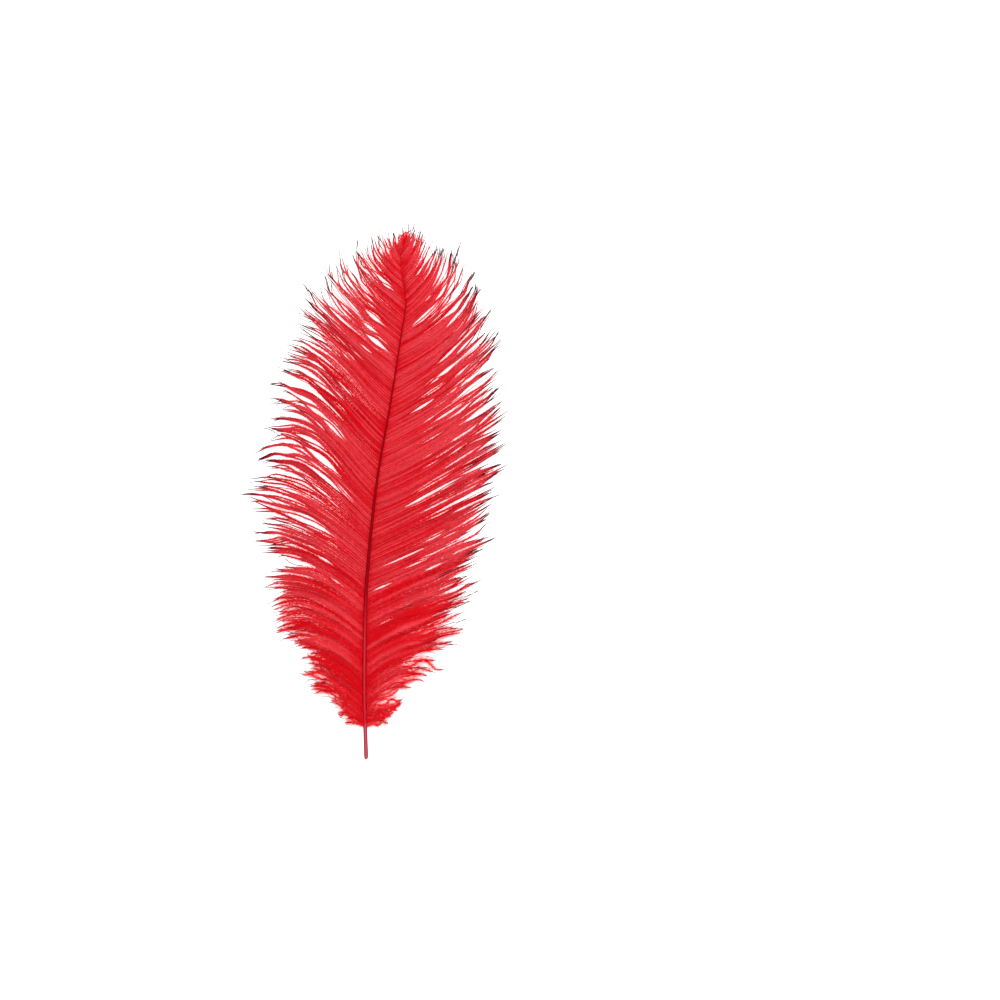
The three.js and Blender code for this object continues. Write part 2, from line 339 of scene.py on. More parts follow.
class LockLine:
    """Middle line of one lock, in millimetres, as a function of the share of its length."""

    def __init__(self, lock, index, side):
        station, tip_across, tip_along, tip_angle = lock
        root_angle = read_profile(ROOT_ANGLES[side], station)
        sign = SIDE_SIGN[side]
        root = shaft_point(station)
        self.root_height = root[2]
        root[2] = 0
        tip = np.array([tip_across, tip_along, 0.0])
        self.length = np.linalg.norm(tip - root)
        handle = self.length * HANDLE_SHARE
        leave, arrive = (
            np.array([sign * math.cos(angle), math.sin(angle), 0])
            for angle in (math.radians(root_angle), math.radians(tip_angle))
        )
        self.control = [root - leave * ROOT_OVERLAP, root + leave * handle, tip - arrive * handle, tip]
        self.end_heading = 3 * (self.control[3] - self.control[2])
        self.tip_height = TIP_HEIGHT_LOW + TIP_HEIGHT_RANGE * ((index * GOLDEN_STEP) % 1)
        self.layer = LAYER_OFFSET if index % 2 else -LAYER_OFFSET

    def __call__(self, share):
        a, b, c, d = self.control
        t = np.minimum(share, 1)[:, None]
        plan = (1 - t)**3 * a + 3 * (1 - t)**2 * t * b + 3 * (1 - t) * t**2 * c + t**3 * d
        plan = plan + np.maximum(share - 1, 0)[:, None] * self.end_heading
        t = t[:, 0]
        arch = np.sin(math.pi * t) * (self.length * ARCH_SHARE + self.layer)
        plan[:, 2] = self.root_height + (self.tip_height - self.root_height) * t**2 + arch
        return plan


def mirrored(line, inner):
    return lambda share: 2 * line(share) - inner(share)


# Barbs

class Barb:
    """One barb: its points in millimetres, and at each of them what the barbules and material need."""

    def __init__(self, points, bare_share, tone, down, sparse, width):
        self.points = points
        self.slant = 1 + 1.0 * down
        self.share = np.linspace(0, 1, BARB_POINTS)
        outer = smooth_step(0.3, 0.75, self.share)
        thinned = (1 - 0.5 * sparse * outer) * (1 - (1 - width) * outer)
        thinned = thinned * (1 - 0.15 * down * smooth_step(0.7, 0.95, self.share))
        self.rod = read_profile(ROD_SHAPE, self.share) * (1 - 0.45 * down) * thinned
        fluff = read_profile(BARBULE_SHAPE, self.share / (1 - bare_share))
        inner = 1 - smooth_step(0.3, 0.6, self.share)
        self.fluff = fluff * (1 + 0.2 * down + 0.5 * inner * smooth_step(0, 0.3, down)) * thinned
        dark_end = smooth_step(1 - bare_share - 0.07, 1 - bare_share + 0.03, self.share)
        shaded = OUTER_SHADE * (1 - down) * (1 + 0.7 * sparse) * smooth_step(0.2, 0.75, self.share)
        shaded += END_SHADE * smooth_step(0.82, 1.0, self.share)
        self.bare = np.maximum(dark_end, shaded)
        from_shaft = np.linalg.norm(points - points[0], axis=1)
        # Painted shade beside the shaft.
        self.tone = tone - SHAFT_SHADE * np.exp(-from_shaft / SHAFT_SHADE_WIDTH)
        self.tone += OUTER_PALENESS * (1 - down) * smooth_step(0.4, 0.9, self.share)

    def length(self):
        return np.linalg.norm(np.diff(self.points, axis=0), axis=1).sum()


def square_to(points):
    """Unit vectors in the plan, square to a line of points."""
    along = np.gradient(points, axis=0)
    along[:, 2] = 0
    along /= np.linalg.norm(along, axis=1)[:, None]
    return np.cross(along, UP)


def make_barb(line, lower, upper, place, clump, reach, bare_share, tone, down, sparse, width, rng):
    """One barb of a lock. Place is -1 at the lower neighbour, 1 at the upper one; down is 1 in the fluff."""
    share = np.linspace(0, 1, BARB_POINTS)
    run = share * reach
    pull = clump["pull"] * (1 - 0.6 * down)
    gathered = place + (clump["place"] - place) * pull * smooth_step(clump["start"], 1.0, run)
    neighbour = np.where((gathered < 0)[:, None], lower(run), upper(run))
    middle = line(run)
    spread = read_profile(LOCK_SPREAD, run) / 2 * np.abs(gathered)
    points = middle + spread[:, None] * (neighbour - middle)
    sway = clump["sway"] * np.sin(math.tau * (clump["waves"] * run + clump["phase"]))
    own_sway = rng.normal(0, 0.22 + 0.95 * down)
    own_waves = rng.uniform(0.6, 1.5) * (1 + 1.1 * down)
    own_sway = own_sway * np.sin(math.tau * (own_waves * run + rng.random()))
    splay = rng.normal(0, 1.25 - 0.8 * width) * np.maximum(run - 0.72, 0) * 5
    points += square_to(points) * ((sway + own_sway) * smooth_step(0.1, 1.0, run) + splay)[:, None]
    lift = rng.normal(0.3 + down, 0.4 + 0.9 * down) + clump["lift"]
    points[:, 2] += lift * np.sin(math.pi * np.minimum(run, 1))
    return Barb(points, bare_share, tone, down, sparse, width)


def clumps_of(station, rng):
    """The small bundles that a lock's barbs gather into towards its end."""
    count = rng.integers(1, 4) + (2 if station > FINE_TIP_STATION else 0)
    start = read_profile(GATHER_START, station)
    pull = read_profile(GATHER_PULL, station)
    tone = rng.normal(0, 0.04)
    return [
        {
            "place": (2 * each + 1) / count - 1 + rng.normal(0, 0.12),
            "start": start + rng.uniform(-0.1, 0.2),
            "pull": pull + rng.uniform(-0.2, 0.2),
            "sway": rng.normal(0, 0.5),
            "waves": rng.uniform(0.5, 1.1),
            "phase": rng.random(),
            "lift": rng.normal(0, 0.4),
            "reach": rng.normal(0, 0.035),
            "tone": tone + rng.normal(0, 0.05),
        }
        for each in range(count)
    ]


def make_vane(side, settings):
    """All barbs of one vane, from the quill to the tip."""
    rng = np.random.default_rng(settings.seed + SIDE_SIGN[side])
    locks = np.vstack([LOCKS[side], TUFTS[side]])
    lines = [LockLine(lock, index, side) for index, lock in enumerate(locks)]
    steps = np.diff(locks[:, 0])
    share = np.linspace(0, 1, BARB_POINTS)
    waves = [(rng.uniform(0.01, 0.07), rng.uniform(0.8, 3.0), rng.random()) for _ in range(5)]
    barbs = []
    for index, line in enumerate(lines):
        lower = lines[index - 1] if index else mirrored(line, lines[1])
        upper = lines[index + 1] if index + 1 < len(lines) else mirrored(line, lines[-2])
        below = steps[max(index - 1, 0)] / 2
        above = steps[min(index, len(steps) - 1)] / 2
        root_angle = math.radians(min(read_profile(ROOT_ANGLES[side], locks[index, 0]), 60))
        gap = settings.barb_gap / MM / math.cos(root_angle)
        count_below = max(2, round(below / gap))
        count_above = max(2, round(above / gap))
        places = np.concatenate([
            -(np.arange(count_below) + 0.5)[::-1] / count_below,
            (np.arange(count_above) + 0.5) / count_above,
        ])
        clumps = clumps_of(locks[index, 0], rng)
        for place in places:
            clump = min(clumps, key=lambda each: abs(each["place"] - place))
            station = locks[index, 0] + place * (below if place < 0 else above)
            down = 1 - smooth_step(*DOWN_STATIONS, station)
            sparse = smooth_step(*SPARSE_STATIONS, station)
            reach = clump["reach"] - 0.04 * abs(place)**1.5 + rng.normal(0, 0.03 + 0.06 * down)
            if rng.random() < HAIR_SHARE * (1 + 0.3 * down + 0.6 * sparse):
                reach += 1.0 + rng.uniform(-0.04, 0.05 + 0.09 * sparse)
                bare_share = rng.uniform(0.12, 0.32)
                width = HAIR_WIDTH
            else:
                reach += read_profile(WOOL_REACH, station)
                bare_share = rng.uniform(0.02, 0.1) * (1 - 0.2 * down)
                width = 1.0
            reach = min(reach, LONGEST_REACH)
            patch = sum(
                np.sin(math.tau * (station * along + share * out + start)) for along, out, start in waves
            ) / len(waves)
            streak = rng.normal(STREAK_TONE if len(barbs) % 2 else -STREAK_TONE, 0.28)
            tone = 0.55 - 0.36 * down + clump["tone"] + streak * (1 - 0.4 * down) + 0.22 * patch
            barbs.append(make_barb(
                line, lower, upper, place, clump, reach, bare_share, tone, down, sparse, width, rng))
    for slit in SLITS[side]:
        part_barbs(barbs, along_barbs(barbs, slit), slit[4], False, rng)
    for notch in NOTCHES[side]:
        part_barbs(barbs, along_barbs(barbs, notch), notch[4], True, rng)
    for line, width in random_flecks(barbs, rng):
        part_barbs(barbs, line, width, False, rng)
    for barb in barbs:
        for _ in range(SMOOTHING_PASSES):
            plan = barb.points[:, :2]
            plan[1:-1] = (plan[:-2] + 2 * plan[1:-1] + plan[2:]) / 4
    barbs += [stray_hair(ends, rng) for ends in STRAY_HAIRS[side]]
    barbs.sort(key=lambda barb: barb.points[0, 1])
    for barb in barbs:
        barb.points[:, 2] = np.maximum(barb.points[:, 2], LOWEST_BARB)
    return barbs


def stray_hair(ends, rng):
    """A lone thin hair between two points of the plan, bowed a little to one side."""
    share = np.linspace(0, 1, BARB_POINTS)[:, None]
    start, end = (np.array([*place, height]) for place, height in ((ends[:2], 2.5), (ends[2:], 1.2)))
    bow = np.cross(end - start, UP) * rng.uniform(-0.12, 0.12)
    points = start + (end - start) * share + bow * np.sin(math.pi * share)
    hair = Barb(points, 0.5, 0.5, 0, 0, 1)
    hair.rod = np.full(BARB_POINTS, HAIR_ROD)
    hair.fluff = np.zeros(BARB_POINTS)
    hair.bare = np.full(BARB_POINTS, 0.9)
    return hair


def along_barbs(barbs, slit):
    """Points of the slit's line in the plan: the nearest barb's own line, moved to the slit's middle."""
    middle = (slit[:2] + slit[2:4]) / 2
    half = np.linalg.norm(slit[2:4] - slit[:2]) / 2
    guide = min(barbs, key=lambda barb: np.linalg.norm(barb.points[:, :2] - middle, axis=1).min())
    plan = guide.points[:, :2]
    reached = np.concatenate([[0], np.cumsum(np.linalg.norm(np.diff(plan, axis=0), axis=1))])
    nearest = np.linalg.norm(plan - middle, axis=1).argmin()
    places = reached[nearest] + np.linspace(-half, half, SLIT_POINTS)
    line = np.stack([np.interp(places, reached, plan[:, axis]) for axis in range(2)], axis=1)
    past = np.maximum(places - reached[-1], 0)[:, None] * (plan[-1] - plan[-2]) / (reached[-1] - reached[-2])
    return line + past + middle - plan[nearest]


def random_flecks(barbs, rng):
    """Short thin slits at random places of the vane's outer part."""
    flecks = []
    for barb in rng.choice(len(barbs), FLECK_COUNT):
        plan = barbs[barb].points[:, :2]
        first = rng.integers(FLECK_ROWS[0], FLECK_ROWS[1])
        last = min(first + rng.integers(2, 6), BARB_POINTS - 2)
        if plan[0, 1] > FLECK_STATION:
            flecks.append((plan[first:last + 1].copy(), rng.uniform(*FLECK_WIDTHS)))
    return flecks


def part_barbs(barbs, line, width, opens, rng):
    """Moves the barbs apart in the plan along a slit's line, which closes again or opens at the edge."""
    tangents = np.gradient(line, axis=0)
    tangents /= np.linalg.norm(tangents, axis=1)[:, None]
    reached = np.concatenate([[0], np.cumsum(np.linalg.norm(np.diff(line, axis=0), axis=1))])
    middle, length = line[len(line) // 2], reached[-1]
    reach = 1.3 * width + 2.0
    for barb in barbs:
        plan = barb.points[:, :2]
        if np.linalg.norm(plan - middle, axis=1).min() > length + reach:
            continue
        nearest = np.linalg.norm(plan[:, None] - line, axis=2).argmin(axis=1)
        ahead = tangents[nearest]
        aside = np.stack([-ahead[:, 1], ahead[:, 0]], axis=1)
        apart = plan - line[nearest]
        run = (reached[nearest] + (apart * ahead).sum(axis=1)) / length
        off = (apart * aside).sum(axis=1)
        beside = (run > 0) & (run < (1.6 if opens else 1.0)) & (np.abs(off) < reach)
        if not beside.any() or rng.random() < 0.1:
            continue
        side = 1 if off[beside].mean() > 0 else -1
        if opens:
            shape = smooth_step(-0.05, 0.9, run)
        else:
            shape = np.sin(math.pi * np.clip(run, 0, 1)) ** 0.7
        half = shape * (width / 2 + SLIT_MARGIN) * rng.uniform(0.65, 1.25)
        now = np.maximum(side * off, 0)
        moved = np.where(now < reach, half + now * (reach - half) / reach, now)
        shift = np.where(shape > 0, moved - side * off, 0) * smooth_step(-reach, -reach / 2, side * off)
        barb.points[:, :2] += (side * shift)[:, None] * aside
        edge = np.exp(-np.maximum(moved - half, 0) / 0.7) * np.minimum(shape * 2, 1)
        barb.fluff = barb.fluff * (1 - 0.3 * edge)
        barb.bare = np.maximum(barb.bare, 0.2 * edge)


def split_by_length(barbs, count):
    """The barbs in order, in parts of nearly equal summed length."""
    ends = np.cumsum([barb.length() for barb in barbs])
    part = np.minimum((ends / ends[-1] * count).astype(int), count - 1)
    return [[barb for barb, home in zip(barbs, part) if home == each] for each in range(count)]


# Meshes

def quill_end():
    """The quill's end in the frame's plan: the node's lowest point along Y."""
    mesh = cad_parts["plume"].data
    points = np.empty(len(mesh.vertices) * 3)
    mesh.vertices.foreach_get("co", points)
    points = points.reshape(-1, 3)
    end = points[points[:, 1].argmin()]
    return np.array([end[0], end[1], 0])


QUILL_END = quill_end()


def to_frame(points):
    """Millimetres from the quill's end, as metres in the frame."""
    return points * MM + QUILL_END


def add_attribute(mesh, name, kind, values):
    layer = mesh.attributes.new(name, kind, "POINT")
    field = "vector" if kind == "FLOAT_VECTOR" else "value"
    layer.data.foreach_set(field, np.ascontiguousarray(values, dtype=np.float32).ravel())


def barb_lines_mesh(name, barbs, settings):
    """A mesh of edges only, one line per barb, with what the barbule tree reads on its points."""
    points = np.concatenate([to_frame(barb.points) for barb in barbs])
    count = len(barbs) * BARB_POINTS
    starts = np.arange(count).reshape(len(barbs), BARB_POINTS)
    edges = np.stack([starts[:, :-1].ravel(), starts[:, 1:].ravel()], axis=1)
    mesh = bpy.data.meshes.new(name)
    mesh.from_pydata(points.tolist(), edges.tolist(), [])
    heading = np.concatenate([np.gradient(barb.points, axis=0) for barb in barbs])
    heading /= np.linalg.norm(heading, axis=1)[:, None]
    add_attribute(mesh, "heading", "FLOAT_VECTOR", heading)
    add_attribute(mesh, "along", "FLOAT", np.concatenate([barb.share for barb in barbs]))
    add_attribute(mesh, "row", "FLOAT", np.repeat(np.arange(len(barbs)), BARB_POINTS))
    add_attribute(mesh, "tone", "FLOAT", np.concatenate([barb.tone for barb in barbs]))
    add_attribute(mesh, "bare", "FLOAT", np.concatenate([barb.bare for barb in barbs]))
    add_attribute(mesh, "slant", "FLOAT", np.repeat([barb.slant for barb in barbs], BARB_POINTS))
    rod = np.concatenate([barb.rod for barb in barbs]) * settings.rod_radius
    add_attribute(mesh, "rod", "FLOAT", np.maximum(rod, THINNEST_ROD * MM))
    fluff = np.concatenate([barb.fluff for barb in barbs]) * settings.barbule_length
    add_attribute(mesh, "fluff", "FLOAT", fluff)
    return mesh


class Tree:
    """A node tree under construction, with its nodes linked as they are added."""

    def __init__(self, name, kind):
        self.tree = bpy.data.node_groups.new(name, kind)

    def socket(self, name, kind, output=False, default=None):
        direction = "OUTPUT" if output else "INPUT"
        item = self.tree.interface.new_socket(name, in_out=direction, socket_type=kind)
        if default is not None:
            item.default_value = default
        return item

    def add(self, kind, inputs=None, **fields):
        node = self.tree.nodes.new(kind)
        for field, value in fields.items():
            setattr(node, field, value)
        for key, value in (inputs or {}).items():
            self.feed(node.inputs[key], value)
        return node

    def feed(self, socket, value):
        if isinstance(value, bpy.types.NodeSocket):
            self.tree.links.new(value, socket)
        else:
            socket.default_value = value

    def math(self, operation, *values):
        node = self.tree.nodes.new("ShaderNodeMath")
        node.operation = operation
        for socket, value in zip(node.inputs, values):
            self.feed(socket, value)
        return node.outputs[0]

    def vector(self, operation, *values):
        node = self.tree.nodes.new("ShaderNodeVectorMath")
        node.operation = operation
        for socket, value in zip(node.inputs, values):
            self.feed(socket, value)
        return node.outputs["Vector"]

    def scaled(self, vector, factor):
        node = self.tree.nodes.new("ShaderNodeVectorMath")
        node.operation = "SCALE"
        self.feed(node.inputs[0], vector)
        self.feed(node.inputs["Scale"], factor)
        return node.outputs["Vector"]

    def attribute(self, name, kind):
        node = self.add("GeometryNodeInputNamedAttribute", {"Name": name}, data_type=kind)
        return node.outputs["Attribute"]

    def random(self, low, high, seed):
        node = self.add("FunctionNodeRandomValue", data_type="FLOAT")
        self.feed(node.inputs[2], low)
        self.feed(node.inputs[3], high)
        self.feed(node.inputs["Seed"], seed)
        return node.outputs[1]


def barbule_tree():
    """Barb lines become rods with two rows of flat, pointed barbules."""
    build = Tree("barb_with_barbules", "GeometryNodeTree")
    build.socket("Geometry", "NodeSocketGeometry")
    build.socket("Barbule gap", "NodeSocketFloat")
    build.socket("Barbule width", "NodeSocketFloat")
    build.socket("Barbule slant", "NodeSocketFloat")
    build.socket("Seed", "NodeSocketInt")
    build.socket("Material", "NodeSocketMaterial")
    build.socket("Geometry", "NodeSocketGeometry", output=True)
    given = build.add("NodeGroupInput").outputs
    curve = build.add("GeometryNodeMeshToCurve", {"Mesh": given["Geometry"]}).outputs["Curve"]

    # Rods, flat below and ridged above
    level = build.add("GeometryNodeSetCurveNormal", {"Curve": curve}, mode="Z_UP")
    ring = build.add("GeometryNodeCurvePrimitiveCircle", {"Resolution": 3, "Radius": 1.0}, mode="RADIUS")
    ring_place = build.math("MULTIPLY", build.add("GeometryNodeInputIndex").outputs[0], -0.1)
    marked_ring = build.add("GeometryNodeStoreNamedAttribute", {
        "Geometry": ring.outputs["Curve"], "Name": "out", "Value": ring_place,
    }, data_type="FLOAT", domain="POINT")
    # Painted shade mask: edge is 0 at the rod's ridge and 1 at its two lower corners, so the furrows between barbs are
    # painted darker.
    edge = build.math("MINIMUM", build.add("GeometryNodeInputIndex").outputs[0], 1.0)
    shaded_ring = build.add("GeometryNodeStoreNamedAttribute", {
        "Geometry": marked_ring.outputs["Geometry"], "Name": "edge", "Value": edge,
    }, data_type="FLOAT", domain="POINT")
    section = build.add("GeometryNodeTransform", {
        "Geometry": shaded_ring.outputs["Geometry"],
        "Scale": (ROD_FLATNESS, 1, 1), "Rotation": (0, 0, math.pi / 2),
    })
    rods = build.add("GeometryNodeCurveToMesh", {
        "Curve": level.outputs["Curve"], "Profile Curve": section.outputs["Geometry"],
        "Scale": build.attribute("rod", "FLOAT"), "Fill Caps": True,
    })

    # One barbule: a three-sided spike of unit size along Z, marked from its root to its point
    spike = build.add("GeometryNodeMeshCone", {
        "Vertices": 3, "Radius Top": 0.0, "Radius Bottom": 1.0, "Depth": 1.0,
    }, fill_type="NGON")
    height = build.add("ShaderNodeSeparateXYZ", {
        "Vector": build.add("GeometryNodeInputPosition").outputs[0],
    }).outputs["Z"]
    marked_spike = build.add("GeometryNodeStoreNamedAttribute", {
        "Geometry": spike.outputs["Mesh"], "Name": "out", "Value": height,
    }, data_type="FLOAT", domain="POINT")

    # Barbules in two rows, slanting towards the barb's end
    spots = build.add("GeometryNodeCurveToPoints", {
        "Curve": curve, "Length": given["Barbule gap"],
    }, mode="LENGTH")
    heading = build.vector("NORMALIZE", build.attribute("heading", "FLOAT_VECTOR"))
    aside = build.vector("NORMALIZE", build.vector("CROSS_PRODUCT", heading, (0, 0, 1)))
    index = build.add("GeometryNodeInputIndex").outputs[0]
    row = build.math("SUBTRACT", build.math("MULTIPLY", build.math("MODULO", index, 2.0), 2.0), 1.0)
    seed = given["Seed"]
    slant = build.math("MULTIPLY", given["Barbule slant"], build.attribute("slant", "FLOAT"))
    turn = build.math("ADD", slant, build.random(-0.2, 0.2, seed))
    ahead = build.scaled(heading, build.math("COSINE", turn))
    outward = build.scaled(aside, build.math("MULTIPLY", build.math("SINE", turn), row))
    rise = build.scaled((0, 0, 1), build.random(-0.1, 0.2, build.math("ADD", seed, 1.0)))
    direction = build.vector("ADD", build.vector("ADD", ahead, outward), rise)
    turned = build.add("FunctionNodeAxesToRotation", {
        "Primary Axis": direction, "Secondary Axis": (0, 0, 1),
    }, primary_axis="Z", secondary_axis="Y")
    wide = build.math("MULTIPLY", given["Barbule width"], 0.58)
    long = build.math("MULTIPLY", build.attribute("fluff", "FLOAT"),
                      build.random(0.7, 1.15, build.math("ADD", seed, 2.0)))
    size = build.add("ShaderNodeCombineXYZ", {
        "X": wide, "Y": build.math("MULTIPLY", wide, 0.35), "Z": long,
    })
    grown = build.math("GREATER_THAN", build.attribute("fluff", "FLOAT"), BARE_BARBULE * MM)
    rows = build.add("GeometryNodeInstanceOnPoints", {
        "Points": spots.outputs["Points"], "Instance": marked_spike.outputs["Geometry"],
        "Selection": grown,
        "Rotation": turned.outputs["Rotation"], "Scale": size.outputs["Vector"],
    })

    joined = build.add("GeometryNodeJoinGeometry")
    build.tree.links.new(rows.outputs["Instances"], joined.inputs[0])
    build.tree.links.new(rods.outputs["Mesh"], joined.inputs[0])
    real = build.add("GeometryNodeRealizeInstances", {"Geometry": joined.outputs[0]})
    painted = build.add("GeometryNodeSetMaterial", {
        "Geometry": real.outputs["Geometry"], "Material": given["Material"],
    })
    build.add("NodeGroupOutput", {"Geometry": painted.outputs["Geometry"]})
    return build.tree


def grow_barbs(name, barbs, tree, gap, material, settings):
    """A plain mesh object of the barbs' rods and barbules."""
    source = bpy.data.objects.new(name + "_lines", barb_lines_mesh(name + "_lines", barbs, settings))
    bpy.context.scene.collection.objects.link(source)
    modifier = source.modifiers.new("barbules", "NODES")
    modifier.node_group = tree
    values = {
        "Barbule gap": gap,
        "Barbule width": settings.barbule_width,
        "Barbule slant": settings.barbule_slant,
        "Seed": settings.seed,
        "Material": material,
    }
    for item in tree.interface.items_tree:
        if item.in_out == "INPUT" and item.name in values:
            modifier[item.identifier] = values[item.name]
    depsgraph = bpy.context.evaluated_depsgraph_get()
    depsgraph.update()
    mesh = bpy.data.meshes.new_from_object(source.evaluated_get(depsgraph))
    mesh.name = name
    bpy.data.objects.remove(source)
    piece = bpy.data.objects.new(name, mesh)
    bpy.context.scene.collection.objects.link(piece)
    add_bake_map(mesh, len(barbs))
    tidy_mesh(mesh, material)
    return piece


def tidy_mesh(mesh, material):
    """Keeps the barbules off the floor, and leaves one material and the attributes that it reads."""
    points = np.empty(len(mesh.vertices) * 3, np.float32)
    mesh.vertices.foreach_get("co", points)
    points[2::3] = np.maximum(points[2::3], LOWEST_BARBULE * MM)
    mesh.vertices.foreach_set("co", points)
    mesh.materials.clear()
    mesh.materials.append(material)
    mesh.polygons.foreach_set("material_index", np.zeros(len(mesh.polygons), np.int32))
    for name in ("heading", "along", "row", "slant", "rod", "fluff", "out"):
        mesh.attributes.remove(mesh.attributes[name])
    mesh.update()


def add_bake_map(mesh, rows):
    """A map with one strip per barb, along it in u, in which every barbule has a cell of its own."""
    def point_values(name):
        values = np.empty(len(mesh.vertices), np.float32)
        mesh.attributes[name].data.foreach_get("value", values)
        return values

    along, row, out = (point_values(name) for name in ("along", "row", "out"))
    corners = np.empty(len(mesh.loops), np.int32)
    mesh.loops.foreach_get("vertex_index", corners)
    starts = np.empty(len(mesh.polygons), np.int32)
    mesh.polygons.foreach_get("loop_start", starts)
    place = np.arange(len(mesh.loops)) - np.repeat(starts, np.diff(np.append(starts, len(mesh.loops))))
    u = 0.002 + 0.994 * along[corners] + 0.0012 * (place % 3)
    v = (row[corners] + 0.34 + 0.6 * np.clip(out[corners], -0.4, 1) + 0.03 * (place == 2)) / rows
    layer = mesh.uv_layers.new(name="OFBake")
    layer.data.foreach_set("uv", np.stack([u, v], axis=1).astype(np.float32).ravel())


def shaft_mesh(settings):
    """The shaft as one closed tapering mesh, round above and flatter below, with a rounded quill end."""
    top = SHAFT_AXIS[-1, 1]
    stations = np.concatenate([
        SHAFT_RADIUS[0, 1] * 0 + np.array([0.05, 0.2, 0.45, 0.8, 1.3, 2]), np.arange(3, 28, 1.0),
        np.arange(28, top, 1.6), [top - 0.2],
    ])
    sides = 24
    turn = np.arange(sides) / sides * math.tau
    points, around, along = [], [], []
    for station in stations:
        centre = shaft_point(station)
        ahead = shaft_point(station + 0.5) - shaft_point(station - 0.5)
        ahead[2] = 0
        ahead /= np.linalg.norm(ahead)
        across = np.cross(ahead, UP)
        radius = read_profile(SHAFT_RADIUS, station)
        groove = 1 - 0.10 * np.exp(-((turn - math.pi / 2) / 0.28)**2)
        ring = centre + radius * groove[:, None] * (
            np.cos(turn)[:, None] * across + np.sin(turn)[:, None] * UP * 0.96
        )
        ring[:, 2] = np.maximum(ring[:, 2], 0.02)
        points.append(ring)
        around.append(np.sin(turn))
        along.append(np.full(sides, station))
    points = np.concatenate(points + [shaft_point(0.0)[None], shaft_point(top)[None]])
    last = (len(stations) - 1) * sides
    faces = []
    for side in range(sides):
        following = (side + 1) % sides
        faces.append((len(points) - 2, side, following))
        faces.append((len(points) - 1, last + following, last + side))
        for ring in range(len(stations) - 1):
            near, far = ring * sides, (ring + 1) * sides
            faces.append((near + side, far + side, far + following, near + following))
    mesh = bpy.data.meshes.new("shaft")
    mesh.from_pydata(to_frame(points).tolist(), [], faces)
    add_attribute(mesh, "around", "FLOAT", np.concatenate(around + [[1, 1]]))
    add_attribute(mesh, "station", "FLOAT", np.concatenate(along + [[0, top]]))
    for polygon in mesh.polygons:
        polygon.use_smooth = True
    return mesh


# Materials

class Shader:
    """A material's node tree under construction, around its Principled shader."""

    def __init__(self, name):
        self.material = bpy.data.materials.new(name)
        self.material.use_nodes = True
        self.tree = self.material.node_tree
        self.surface = self.tree.nodes["Principled BSDF"]

    def add(self, kind, inputs=None, **fields):
        node = self.tree.nodes.new(kind)
        for field, value in fields.items():
            setattr(node, field, value)
        for key, value in (inputs or {}).items():
            self.feed(node.inputs[key], value)
        return node

    def feed(self, socket, value):
        if isinstance(value, bpy.types.NodeSocket):
            self.tree.links.new(value, socket)
        else:
            socket.default_value = value

    def attribute(self, name):
        return self.add("ShaderNodeAttribute", attribute_name=name).outputs["Fac"]

    def ramp(self, value, low, high):
        """The value mapped from low and high to 0 and 1, held at both ends."""
        node = self.add("ShaderNodeMapRange", {
            "Value": value, "From Min": low, "From Max": high,
        }, interpolation_type="SMOOTHSTEP")
        return node.outputs["Result"]

    def mix(self, share, first, second, blend="MIX"):
        node = self.add("ShaderNodeMix", data_type="RGBA", blend_type=blend)
        self.feed(node.inputs["Factor"], share)
        self.feed(node.inputs[6], first)
        self.feed(node.inputs[7], second)
        return node.outputs[2]

    def math(self, operation, *values):
        node = self.tree.nodes.new("ShaderNodeMath")
        node.operation = operation
        for socket, value in zip(node.inputs, values):
            self.feed(socket, value)
        return node.outputs[0]


def rgba(colour):
    return (*colour, 1.0)


def barb_material(settings):
    """Dyed barbs: a matte red that varies from barb to barb, with painted furrow shade, darkening at the thin ends."""
    shader = Shader("dyed_barbs")
    place = shader.add("ShaderNodeTexCoord").outputs["Object"]
    mottle = shader.add("ShaderNodeTexNoise", {"Vector": place, "Scale": 420.0, "Detail": 3.0})
    dyed = shader.math("ADD", shader.attribute("tone"), shader.math("MULTIPLY_ADD", mottle.outputs["Fac"], 0.5, -0.25))
    tone = shader.ramp(dyed, 0.0, 1.0)
    dense = shader.mix(tone, rgba(settings.dye), rgba(settings.pale_dye))
    # Painted shade in the furrows between the barbs, from the rods' edge mask.
    crease_shade = shader.math("MULTIPLY", shader.attribute("edge"), 0.24)
    body = shader.mix(crease_shade, dense, rgba(settings.crease_shade_colour))
    colour = shader.mix(shader.attribute("bare"), body, rgba(settings.tip_colour))
    surface = shader.surface
    shader.feed(surface.inputs["Base Color"], colour)
    shader.feed(surface.inputs["Roughness"], shader.math("MULTIPLY_ADD", mottle.outputs["Fac"], 0.3, 0.5))
    surface.inputs["Specular IOR Level"].default_value = 0.04
    return shader.material


